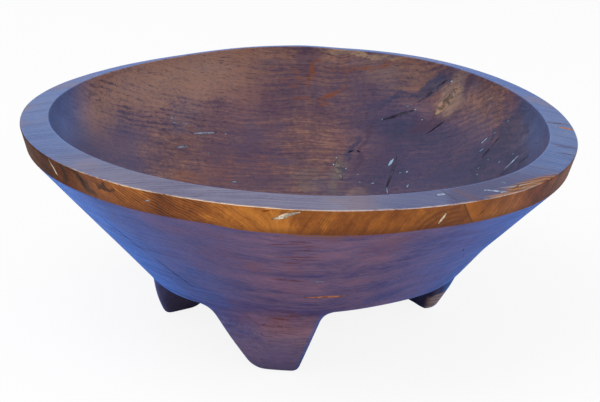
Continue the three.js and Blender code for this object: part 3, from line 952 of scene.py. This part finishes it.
def hollow_material(colours):
    material, tree = new_material("lacquered wood, hollow")
    figure = Figure(tree, tilt=55)
    x, y, z, mottle, wash = figure.x, figure.y, figure.z, figure.mottle, figure.wash
    bands = figure.streaks((4, 46, 20), 3.0, 0.55, 0.15)
    lines = figure.streaks((16, 330, 120), 2.5, 0.65, 0.2)
    fine = figure.streaks((40, 900, 420), 2.0, 0.6, 0.2)
    ring = figure.rings(0.0056, 3)
    curl = tree.noise(tree.vector("MULTIPLY", figure.laid, (130, 22, 40)), 1.0, 2.0, 0.5)
    pores = figure.streaks((70, 1100, 700), 1.0, 0.5, 0.3).step(0.32, 0.14)
    speck = tree.noise(figure.place, 260, 2.0, 0.6).step(0.35, 0.65, smooth=False)
    tone = (bands * 0.24 + lines * 0.28 + fine * 0.16 + mottle * 0.34 + speck * 0.16 + curl * 0.22
            - ring * 0.10 - 0.15)
    body = colours.hollow_colour
    figure.ramp(tone, (
        (0.22, shaded(body, 0.34, 0.40, 0.80)), (0.40, shaded(body, 0.72, 0.74, 0.98)), (0.54, body),
        (0.72, shaded(body, 1.75, 1.75, 1.35)),
    ))
    wash((0.070, 0.064, 0.125), 0.5, figure.hue.step(0.48, 0.32))
    wash((0.23, 0.085, 0.045), 0.45, figure.hue.step(0.53, 0.70))
    # The wood is lighter high at the left, and darker low down and towards the sides.
    behind = y.step(-0.02, 0.03)
    wash((0.35, 0.195, 0.155), 0.7, x.step(0.01, -0.11), z.step(-0.075, -0.015), behind, tone.step(0.15, 0.6))
    # Painted shade, dark navy, lies low at the left and just inside the left wall.
    wash((0.052, 0.048, 0.130), 0.75, figure.bent_x.step(-0.115, -0.175), z.step(-0.015, -0.06))
    wash((0.046, 0.044, 0.120), 0.7, x.step(-0.165, -0.195), y.step(0.095, 0.035))
    wash((0.080, 0.045, 0.090), 0.5, abs(x + 0.055).step(0.065, 0.02), z.step(-0.015, -0.055))
    wash((0.046, 0.046, 0.135), 0.62, x.step(0.02, 0.09), z.step(-0.012, -0.05))
    wash((0.060, 0.038, 0.080), 0.3, x.step(0.020, 0.060), x.step(0.115, 0.085), z.step(-0.008, -0.030))
    # Blue light lies just inside the rim at both sides.
    blue = tree.mix(tone, (0.030, 0.055, 0.15), (0.085, 0.14, 0.32))
    wash(blue, 0.7, x.step(0.185, 0.222), y.step(0.16, 0.09))
    wash(tree.mix(tone, (0.030, 0.055, 0.17), (0.095, 0.18, 0.46)), 0.9, x.step(-0.188, -0.223))
    # The patches at the back are streaked by the figure, and the rusty ones are broken up as well.
    streaked = tone.step(0.25, 0.62) * 0.55 + 0.45
    rusty = streaked * (lines * 0.5 + speck * 0.3 + mottle).step(0.62, 1.05)
    shadowy = 1.25 - streaked * 0.5
    textures = {RUST: rusty, NAVY: shadowy, PLUM: shadowy}
    for *outline, tint, strength in HOLLOW_PATCHES:
        edge = 0.85 if outline[2] >= LONG_PATCH else 0.5
        wash(tint, strength, figure.patch(*outline, edge), behind, textures.get(tint, streaked))
    wash((0.05, 0.040, 0.095), 0.45, y.step(0.02, -0.06), x.step(-0.02, 0.10))
    wash((0.020, 0.010, 0.022), 0.6, pores)
    # A painted blue reflection lies along the inner edge, in front and at the sides.
    reflecting_inner_edge = figure.radius.step(0.2228, 0.2241)
    wash((0.12, 0.16, 0.34), 0.35, reflecting_inner_edge, z.step(-0.004, 0.002), y.step(0.10, 0.02))
    roughness = (lines + mottle).step(0.5, 1.5, smooth=False) * 0.14 + 0.36
    relief = lines * 0.5 + fine * 0.3 - pores * 0.8 - ring * 0.15
    figure.lacquer(roughness, relief, 0.35, 0.16, (0.05, 0.16), (0.10, 0.35, SKY))
    return material


def rim_material(colours):
    material, tree = new_material("lacquered wood, rim")
    figure = Figure(tree, 0.012)
    x, y, radius, mottle, wash = figure.x, figure.y, figure.radius, figure.mottle, figure.wash
    lines = figure.streaks((14, 520, 60), 2.5, 0.6, 0.17)
    bands = figure.streaks((5, 90, 20), 3.0, 0.6, 0.17)
    ring = figure.rings(0.0041, 2)
    grit = tree.noise(figure.place, 420, 2.0, 0.7)
    tone = lines * 0.42 + bands * 0.34 + mottle * 0.5 + grit * 0.5 - ring * 0.12 - 0.22
    figure.base = front = colours.rim_colour
    blue = colours.rim_side_reflection_colour
    # Painted blue reflection covers the rim's top at the sides and, deeper, at the back.
    wash(blue, abs(x).step(0.10, 0.215), y.step(-0.22, -0.08))
    wash(shaded(blue, 0.25, 0.66, 1.15), 0.9, y.step(0.02, 0.16))
    wash(shaded(front, 0.42, 0.42, 0.52), 0.60, tone.step(0.64, 0.28, smooth=False))
    wash((0.27, 0.25, 0.31), 0.40, tone.step(0.60, 1.0, smooth=False))
    wash((0.22, 0.14, 0.135), 0.40, figure.hue.step(0.53, 0.70))
    wash((0.060, 0.085, 0.215), 0.6, x.step(0.035, 0.095), y.step(-0.10, -0.16))
    # Past a crack across the rim the wood lies another way, darker and redder, with an amber knot.
    wash((0.065, 0.055, 0.120), 0.6, x.step(0.118, 0.128), y.step(-0.09, -0.16))
    knot_rings = figure.rings(0.0040, 1, y * 0.78 - x * 0.62 + (mottle - 0.5) * 0.01)
    amber = tree.mix(knot_rings, (0.36, 0.15, 0.035), (0.13, 0.045, 0.018))
    wash(amber, 0.95, figure.plan_patch(198, -147, 42, 6.5, 50))
    for *outline, tint, strength in RIM_MARKS:
        wash(tint, strength, figure.plan_patch(*outline))
    # A pale painted highlight runs along the outer edge in front; a painted blue reflection lies on the inner
    # one.
    highlight_breakup = (mottle + lines * 0.35).step(0.42, 0.80)
    wash((0.50, 0.40, 0.34), 0.45, radius.step(0.2482, 0.2490), y.step(-0.140, -0.20), highlight_breakup)
    wash((0.12, 0.20, 0.46), 0.5, radius.step(0.2264, 0.2248))
    figure.lacquer(lines * 0.12 + 0.34, lines - ring * 0.4, 0.30, 0.06, (0.03, 0.18), (0.12, 0.35, SKY))
    return material


def band_material(colours):
    material, tree = new_material("lacquered wood, band")
    figure = Figure(tree, 0.010)
    x, y, z, mottle, wash = figure.x, figure.y, figure.z, figure.mottle, figure.wash
    # The figure slants one way at the left and another at the right, and goes round an eye at the right.
    stray = (mottle - 0.5) * 0.006
    turned = x.step(-0.035, 0.005)
    slanted = (x * 0.42 + z * 0.90) * (1 - turned) + (x * 0.80 - z * 0.60) * turned
    slanted = slanted + (tree.noise(figure.place, 9, 2.0) - 0.5) * 0.020 + stray
    apart = ((x - 0.131) ** 2.0 * 0.55 + (z + 0.030) ** 2.0).math("SQRT")
    eye = apart.step(0.034, 0.024) * x.step(0.137, 0.131)
    wide = figure.rings(0.0105, 1.0, slanted)
    narrow = figure.rings(0.0021, 1.3, slanted) * (x.step(-0.055, -0.085) * 0.24 + 0.04)
    rounds = figure.rings(0.0042, 1.3, apart + stray * 0.6)
    fibres = tree.vector("MULTIPLY", tree.join(slanted, figure.radius, x), (1300, 60, 60))
    fibre = tree.noise(fibres, 1.0, 2.5, 0.65)
    grit = tree.noise(figure.place, 330, 2.0, 0.7)
    # Painted light: the band is lighter about its middle.
    lit_middle = abs(x + 0.035).step(0.055, 0.020)
    tone = (mottle - 0.5) + (fibre - 0.5) * 0.65 + (grit - 0.5) * 0.35 + 0.46 - wide * 0.09 - narrow
    tone = tone + lit_middle * 0.27 + abs(x + 0.150).step(0.030, 0.010) * 0.16
    body = colours.band_colour
    dark, light = shaded(body, 0.30, 0.26, 0.45), shaded(body, 1.85, 2.1, 1.9)
    figure.ramp(tone, ((0.05, dark), (0.28, shaded(body, 0.68, 0.62, 0.8)), (0.48, body), (0.78, light)))
    wash(dark, 0.7, eye, rounds)
    wash((0.150, 0.045, 0.014), 0.45, eye)
    # The wood right of a crack lies another way and is lighter, then reddens towards the side.
    slope = x + z * 0.45
    wash((0.40, 0.125, 0.012), 0.6, slope.step(0.1345, 0.1365), x.step(0.162, 0.140))
    wash((0.06, 0.022, 0.010), 0.7, abs(slope - 0.1355).step(0.0011, 0.0004), y.step(0.0, -0.1))
    right, left, streaked = x.step(0.165, 0.205), x.step(-0.160, -0.200), tone.step(0.15, 0.75)
    wash(tree.mix(streaked, (0.040, 0.012, 0.012), (0.225, 0.058, 0.032)), 0.85, right)
    wash(tree.mix(streaked, (0.018, 0.004, 0.002), (0.115, 0.026, 0.007)), 0.85, left)
    for outline in BAND_MARKS:
        wash((0.030, 0.010, 0.006), 0.85, figure.patch(*outline), y.step(-0.05, -0.1))
    # Painted shade darkens the band towards its lower edge.
    wash(dark, 0.6, z.step(-0.0135, -0.0205), mottle.step(0.25, 0.55))
    # A pale painted highlight runs along the upper edge in front.
    pale = tree.mix(x.step(-0.02, 0.05), (0.90, 0.74, 0.58), (0.72, 0.68, 0.74))
    highlight_breakup = (mottle + fibre * 0.5 + lit_middle * 0.2).step(0.52, 0.95)
    wash(pale, 0.9, figure.above_rim.step(-0.0012, -0.0007), y.step(-0.135, -0.19), highlight_breakup)
    figure.lacquer(mottle * 0.16 + 0.22 + left * 0.5 + right * 0.3, fibre - narrow, 0.25, 0.10, (0.06, 0.12))
    return material


def flank_material(colours):
    material, tree = new_material("lacquered wood, flank and feet")
    figure = Figure(tree, 0.020)
    x, y, z, mottle, wash = figure.x, figure.y, figure.z, figure.mottle, figure.wash
    bands = figure.streaks((4, 60, 36), 3.0, 0.6, 0.15)
    lines = figure.streaks((16, 420, 260), 2.5, 0.65, 0.18)
    fine = figure.streaks((45, 1100, 700), 2.0, 0.6, 0.2)
    dashes = figure.streaks((60, 1100, 800), 1.0, 0.5, 0.3).step(0.30, 0.16)
    speck = tree.noise(figure.place, 230, 2.0, 0.7)
    tone = bands * 0.36 + lines * 0.26 + fine * 0.18 + mottle * 0.42 + speck * 0.24 - 0.18
    body, blue = colours.flank_colour, colours.flank_side_reflection_colour
    figure.ramp(tone, (
        (0.26, shaded(body, 0.46, 0.50, 0.85)), (0.50, body), (0.78, shaded(body, 1.6, 1.35, 1.10)),
    ))
    wash((0.19, 0.062, 0.050), 0.5, figure.hue.step(0.52, 0.68))
    # Painted shade, dark blue, towards the sides, most at the left.
    wash((0.050, 0.056, 0.170), 0.5, x.step(-0.015, -0.07) + x.step(0.05, 0.12) * 0.4)
    fray = (mottle - 0.5) * 0.006
    broken = y.step(0.0, -0.05) * (lines + fine).step(0.5, 1.1)
    for px, pz, *outline in FLANK_STREAKS:
        streak = figure.ellipse(x - px * MM, z + fray - pz * MM, *outline, 0.5)
        wash((0.090, 0.022, 0.020), 0.85, streak, broken)
    # Amber from the band spills over in front.
    spill = z.step(-0.0268, -0.0220) * x.step(-0.012, 0.004) * x.step(0.055, 0.035)
    wash((0.20, 0.075, 0.022), 0.8, spill, (lines + mottle).step(0.75, 1.05))
    # At the sides a painted blue reflection lies over the wood, and its figure shows in fine level streaks.
    drop = z + 0.080
    leftward, rightward = drop * -0.75 - x, x - drop * 0.75
    strayed = tree.vector("ADD", figure.place, tree.wander(figure.place, 14, 2.0, 0.5, 0.008))
    level = tree.noise(tree.vector("MULTIPLY", strayed, (13, 13, 360)), 1.0, 3.0, 0.62)
    grain = (level * 0.8 + mottle * 0.2).step(0.37, 0.63)
    bare = (figure.hue * 0.4 + level * 0.6).step(0.50, 0.62) * 0.34
    side = leftward.step(0.045, 0.165) + (x - drop * 0.35).step(0.060, 0.185) * 0.85
    wash(tree.mix(grain, shaded(blue, 0.40, 0.42, 0.55), shaded(blue, 1.9, 1.7, 1.45)), 0.86 - bare, side)
    vivid_reflection = tree.mix(grain, (0.034, 0.105, 0.400), (0.080, 0.240, 0.780))
    wash(vivid_reflection, 0.78 - bare, leftward.step(0.115, 0.190))
    wash(vivid_reflection, 0.66 - bare, rightward.step(0.150, 0.195))
    # The feet are paler, and their heels are greyer.
    wash(tree.mix(tone, (0.070, 0.052, 0.130), (0.310, 0.200, 0.245)), 0.55, z.step(-0.130, -0.165))
    wash((0.125, 0.105, 0.265), 0.5, z.step(-0.160, -0.188))
    # The front foot's right side is painted with blue reflected light, and the feet's inner faces with shade.
    reflecting_right_side = (x - (z + 0.195) * 0.34).step(0.0005, 0.0055) * x.step(0.060, 0.045)
    wash((0.045, 0.110, 0.360), 0.75, reflecting_right_side, z.step(-0.126, -0.138), y.step(-0.05, -0.08))
    wash(tree.mix(tone, (0.020, 0.014, 0.022), (0.085, 0.050, 0.050)), 0.75, figure.radius.step(0.134, 0.110))
    # The right foot is painted in shade, dark blue, towards the middle, with a painted blue reflection on its
    # outer side.
    right_foot = x.step(0.078, 0.092) * z.step(-0.128, -0.136)
    wash(tree.mix(tone, (0.006, 0.006, 0.026), (0.030, 0.020, 0.060)), 0.85, right_foot)
    wash((0.060, 0.170, 0.480), 0.8, right_foot, x.step(0.135, 0.141), z.step(-0.178, -0.171))
    # Low on its right a pale brown patch is painted as the face that the light falls on.
    lit_facet = (z - x * 0.48 + (mottle - 0.5) * 0.016).step(-0.2335, -0.2385) * x.step(0.1225, 0.1275)
    wash(tree.mix(grain, (0.20, 0.12, 0.10), (0.58, 0.43, 0.36)), 0.85, right_foot, lit_facet)
    wash((0.045, 0.018, 0.030), 0.45, dashes)
    figure.lacquer(lines * 0.14 + 0.38, lines - dashes, 0.35, 0.07, (0.02, 0.2), (0.55, 0.30, DEEP_SKY))
    return material


def paste_material(name, tone, gloss):
    """Paste in a crack: cloudy, with dark grains."""
    material, tree = new_material(name)
    place = tree.carved_place()
    cloud = tree.noise(place, 130, 3.0, 0.65)
    grains = tree.noise(place, 560, 2.0, 0.6).step(0.54, 0.66)
    light = tuple(min(1.0, c * 1.6 + 0.006) for c in tone)
    base = tree.mix(cloud.step(0.36, 0.64), shaded(tone, 0.40, 0.40, 0.45), light)
    base = tree.mix(grains * 0.6, base, shaded(tone, 0.2, 0.2, 0.25))
    tree.surface(tree.node("ShaderNodeBsdfPrincipled", None, {
        "Base Color": base, "Roughness": cloud * 0.25 + 0.20, "Specular IOR Level": 0.08 + gloss * 0.7,
        "Coat Weight": gloss, "Coat Roughness": 0.08, "Normal": tree.bump(cloud, 0.5, 0.8 * MM),
    }))
    return material


# Settings

def metres(label, text, value):
    return FloatProperty(name=label, description=text, default=value, unit="LENGTH")


def degrees(label, text, value):
    return FloatProperty(name=label, description=text, default=math.radians(value), subtype="ANGLE")


def rgb(label, text, value):
    return FloatVectorProperty(name=label, description=text, default=value, subtype="COLOR",
                               size=3, min=0, max=1)


class BowlSizes(bpy.types.PropertyGroup):
    """The sizes of the bowl that a user would change."""

    rim_radius: metres("Rim radius", "Radius of the rim's outer edge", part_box("bowl_body")[1].x)
    rim_height: metres("Rim height", "Height of the rim's outer edge before the wood warped", 195 * MM)
    saddle_rise: metres("Saddle rise", "How far the rim rises and falls twice round", 3.9 * MM)
    saddle_angle: degrees("Saddle angle", "Where the first of the two rises is", -25)
    threefold_rise: metres("Threefold rise", "How far the rim rises and falls three times", 1.1 * MM)
    threefold_angle: degrees("Threefold angle", "Where the first of the three rises is", 30)
    unevenness: metres("Unevenness", "How far the hand-worked surface strays", 0.9 * MM)
    unevenness_length: metres("Unevenness length", "Length of the surface's slow waves", 70 * MM)


class BowlColours(bpy.types.PropertyGroup):
    """The colours of the wood and of the fillers."""

    hollow_colour: rgb("Hollow", "Wood inside the bowl", (0.150, 0.078, 0.078))
    # The rim's colour in front is the wood under a painted blue-grey reflection; at the sides it is painted
    # reflection.
    rim_colour: rgb("Rim", "Wood on the rim's top in front", (0.165, 0.158, 0.240))
    rim_side_reflection_colour: rgb("Rim sides", "Wood on the rim's top at the sides", (0.085, 0.150, 0.350))
    band_colour: rgb("Band", "Wood round the rim's outside", (0.250, 0.078, 0.013))
    # The flank's colour in front is the wood under a painted violet-blue reflection; at the sides it is
    # painted reflection.
    flank_colour: rgb("Flank", "Wood on the outside in front", (0.125, 0.072, 0.128))
    flank_side_reflection_colour: rgb("Flank sides", "Wood on the outside at the sides", (0.026, 0.084, 0.330))
    # The glaze's pale blue is a painted glint.
    glaze_glint_colour: rgb("Glaze", "Hardened glaze in small pits", (0.20, 0.34, 0.46))
    pale_colour: rgb("Pale paste", "Paste in the band's cracks", (0.55, 0.44, 0.30))
    grey_colour: rgb("Grey paste", "Paste in cracks of the rim and hollow", (0.22, 0.28, 0.40))
    faint_colour: rgb("Faint paste", "Paste in two cracks at the left of the hollow", (0.150, 0.165, 0.230))
    rust_colour: rgb("Rust paste", "Rust-brown paste", (0.34, 0.105, 0.022))
    dark_colour: rgb("Dark paste", "Dark paste", (0.046, 0.038, 0.068))
    tan_colour: rgb("Tan paste", "Paste in the large crack high in the hollow", (0.23, 0.14, 0.095))
    dull_colour: rgb("Dull paste", "Grey-brown paste low in the hollow", (0.115, 0.088, 0.086))


# Operators

def even_top(lift):
    return lambda s, t: np.full_like(s, lift)


def domed_top(edge, middle):
    """The top of a fleck or filler: one height at its edge, another in its middle."""
    return lambda s, t: edge + (middle - edge) * (1 - (2 * s - 1) ** 2) * (1 - t * t)


def joined_lenses(name, shape, marks, room, top, depth, seed, rings, across):
    """Many small lens-shaped bodies in one mesh. A mark may end with a depth of its own."""
    vertices, faces = [], []
    places = [(surface, *mark) for surface, group in marks.items() for mark in group]
    for i, (surface, *place) in enumerate(places):
        own_depth = place.pop() * MM if len(place) > 5 else depth
        more, ones = lens(Surface(shape, surface), place, room, top, own_depth, seed + i, rings, across)
        start = sum(len(v) for v in vertices)
        vertices.append(more)
        faces.extend([start + k for k in face] for face in ones)
    return facing_out(mesh_object(name, np.concatenate(vertices), faces))


def smooth(piece, angle):
    for polygon in piece.data.polygons:
        polygon.use_smooth = True
    piece.data.set_sharp_from_angle(angle=math.radians(angle))


def pointing(azimuth, elevation):
    """The unit vector at an angle round the bowl and a height angle, both in degrees."""
    turn, lift = math.radians(azimuth), math.radians(elevation)
    return Vector((math.sin(turn) * math.cos(lift), -math.cos(turn) * math.cos(lift), math.sin(lift)))


class BOWL_OT_body(bpy.types.Operator):
    """Carve the block, cut its cracks and dry it"""
    bl_idname = "bowl.body"
    bl_label = "Carved body"

    def execute(self, context):
        sizes, colours = context.scene.bowl_sizes, context.scene.bowl_colours
        shape = Shape(sizes)
        piece = mesh_object("carved_bowl", *carved_block(shape))
        cutters = []
        for i, filler in enumerate(FILLERS):
            pocket = lens(Surface(shape, filler[1]), filler[2:7], FILLER_CLEARANCE, even_top(POCKET_ABOVE),
                          FILLER_DEPTH + FILLER_CLEARANCE, FILLER_SEED + i)
            cutters.append(facing_out(mesh_object("pocket", *pocket)))
        above = even_top(PIT_ABOVE)
        cutters.append(joined_lenses("pits", shape, FLECKS, PIT_CLEARANCE, above, FLECK_DEPTH, FLECK_SEED,
                                     rings=10, across=4))
        cutters.append(joined_lenses("checks", shape, NICKS, 0.0, above, None, NICK_SEED, rings=14, across=3))
        for cutter in cutters:
            cut = piece.modifiers.new("cut", "BOOLEAN")
            cut.operation = "DIFFERENCE"
            cut.solver = "MANIFOLD"
            cut.object = cutter
        baked(piece)
        for cutter in cutters:
            bpy.data.objects.remove(cutter)
        finishes = (hollow_material, flank_material, rim_material, band_material)
        dry(piece, sizes, *(finish(colours) for finish in finishes))
        smooth(piece, angle=38)
        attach(piece, "root")
        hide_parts("bowl_body")
        return {"FINISHED"}


class BOWL_OT_fillers(bpy.types.Operator):
    """Set the paste fillers into their cracks"""
    bl_idname = "bowl.fillers"
    bl_label = "Crack fillers"

    def execute(self, context):
        sizes, colours = context.scene.bowl_sizes, context.scene.bowl_colours
        shape = Shape(sizes)
        finishes = {
            slot: paste_material(name, getattr(colours, setting), gloss)
            for slot, (name, setting, gloss) in PASTES.items()
        }
        for i, filler in enumerate(FILLERS):
            paste = lens(Surface(shape, filler[1]), filler[2:7], 0.0, domed_top(0.0, -FILLER_SINK),
                         FILLER_DEPTH, FILLER_SEED + i)
            piece = facing_out(mesh_object(filler[0].replace("_filler", "_paste"), *paste))
            dry(piece, sizes, finishes[OWN_PASTES.get(filler[0], filler[-1])])
            smooth(piece, angle=40)
            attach(piece, "root")
            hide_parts(filler[0])
        return {"FINISHED"}


class BOWL_OT_flecks(bpy.types.Operator):
    """Let hardened glaze, painted pale blue as glints, stand in the small pits"""
    bl_idname = "bowl.flecks"
    bl_label = "Glaze flecks"

    def execute(self, context):
        sizes, colours = context.scene.bowl_sizes, context.scene.bowl_colours
        piece = joined_lenses("glaze_flecks", Shape(sizes), FLECKS, -FLECK_SHRINK,
                              domed_top(FLECK_EDGE, FLECK_MIDDLE), FLECK_DEPTH - FLECK_FLOOR_GAP, FLECK_SEED,
                              rings=10, across=6)
        dry(piece, sizes, paste_material("pale glaze", colours.glaze_glint_colour, gloss=0.35))
        smooth(piece, angle=50)
        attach(piece, "root")
        return {"FINISHED"}


class BOWL_OT_stage(bpy.types.Operator):
    """Set up the floor, the lights and the camera"""
    bl_idname = "bowl.stage"
    bl_label = "Stage"

    def execute(self, context):
        scene = context.scene
        scene.view_settings.view_transform = "Standard"
        middle = Vector((0, 0, scene.bowl_sizes.rim_height))
        self.add_camera(scene, middle)
        self.add_floor()
        self.add_surroundings(scene)
        for lamp in LAMPS:
            self.add_lamp(scene, middle, *lamp)
        return {"FINISHED"}

    def add_camera(self, scene, middle):
        forward = -pointing(-CAMERA_YAW, CAMERA_PITCH)
        right = forward.cross(Vector((0, 0, 1))).normalized()
        up = right.cross(forward)
        cos, sin = math.cos(math.radians(CAMERA_ROLL)), math.sin(math.radians(CAMERA_ROLL))
        right, up = right * cos + up * sin, up * cos - right * sin
        data = bpy.data.cameras.new("camera")
        data.sensor_width = SENSOR_WIDTH
        data.lens = CAMERA_FOCAL_PIXELS * SENSOR_WIDTH / PICTURE_WIDTH
        camera = bpy.data.objects.new("camera", data)
        place = middle + pointing(0, CAMERA_ELEVATION) * CAMERA_DISTANCE
        camera.matrix_world = Matrix.Translation(place) @ Matrix((right, up, -forward)).transposed().to_4x4()
        scene.collection.objects.link(camera)
        scene.camera = camera

    def add_floor(self):
        """A white floor that glows white to the camera and keeps a part of the bowl's shadow."""
        corners = [(x * FLOOR_REACH, y * FLOOR_REACH, 0) for x, y in ((-1, -1), (1, -1), (1, 1), (-1, 1))]
        floor = mesh_object("floor", corners, [(0, 1, 2, 3)])
        material, tree = new_material("white ground")
        seen = tree.node("ShaderNodeLightPath", None, None, "Is Camera Ray")
        lit = tree.node("ShaderNodeBsdfDiffuse", None, {"Color": colour((FLOOR_COLOUR,) * 3)})
        white = tree.node("ShaderNodeEmission", None, {"Color": colour((1, 1, 1)), "Strength": 1.0})
        tree.surface(tree.node("ShaderNodeMixShader", None, {0: seen * FLOOR_GLOW, 1: lit, 2: white}))
        floor.data.materials.append(material)

    def add_surroundings(self, scene):
        """White surroundings, at full strength only where they are seen directly or in a reflection."""
        world = scene.world = bpy.data.worlds.new("soft daylight")
        world.use_nodes = True
        world.node_tree.nodes.clear()
        tree = Tree(world.node_tree)
        ray = tree.node("ShaderNodeLightPath", None, None, "Is Camera Ray")
        seen = (ray + ray.other("Is Glossy Ray") + ray.other("Is Transmission Ray")).math("MINIMUM", 1.0)
        strength = seen * (1 - WORLD_LIGHT) + WORLD_LIGHT
        back = tree.node("ShaderNodeBackground", None, {"Color": colour((1, 1, 1)), "Strength": strength})
        tree.node("ShaderNodeOutputWorld", None, {"Surface": back})

    def add_lamp(self, scene, middle, name, azimuth, height, distance, width, depth, power):
        lamp = bpy.data.lights.new(name, "AREA")
        lamp.shape = "RECTANGLE"
        lamp.size, lamp.size_y = width, depth
        lamp.energy = power
        holder = bpy.data.objects.new(name, lamp)
        way = pointing(azimuth, height)
        holder.location = middle + way * distance
        holder.rotation_euler = (-way).to_track_quat("-Z", "Y").to_euler()
        # The key lamp isn't seen in the lacquer, so that it leaves no bright disc in the hollow.
        holder.visible_glossy = name != "key lamp"
        scene.collection.objects.link(holder)


class BOWL_PT_panel(bpy.types.Panel):
    """The bowl's pieces, sizes and colours"""
    bl_idname = "BOWL_PT_panel"
    bl_label = "Footed wooden bowl"
    bl_space_type = "VIEW_3D"
    bl_region_type = "UI"
    bl_category = "Bowl"

    def draw(self, context):
        column = self.layout.column(align=True)
        for settings in (context.scene.bowl_sizes, context.scene.bowl_colours):
            for name in settings.__annotations__:
                column.prop(settings, name)
            column.separator()
        for operator in OPERATORS:
            column.operator(operator.bl_idname)


OPERATORS = (BOWL_OT_stage, BOWL_OT_body, BOWL_OT_fillers, BOWL_OT_flecks)
CLASSES = (BowlSizes, BowlColours, *OPERATORS, BOWL_PT_panel)


def register():
    for item in CLASSES:
        bpy.utils.register_class(item)
    bpy.types.Scene.bowl_sizes = PointerProperty(type=BowlSizes)
    bpy.types.Scene.bowl_colours = PointerProperty(type=BowlColours)


def unregister():
    del bpy.types.Scene.bowl_colours
    del bpy.types.Scene.bowl_sizes
    for item in reversed(CLASSES):
        bpy.utils.unregister_class(item)


def main():
    register()
    bpy.ops.bowl.stage()
    bpy.ops.bowl.body()
    bpy.ops.bowl.fillers()
    bpy.ops.bowl.flecks()


if __name__ == "__main__":
    main()
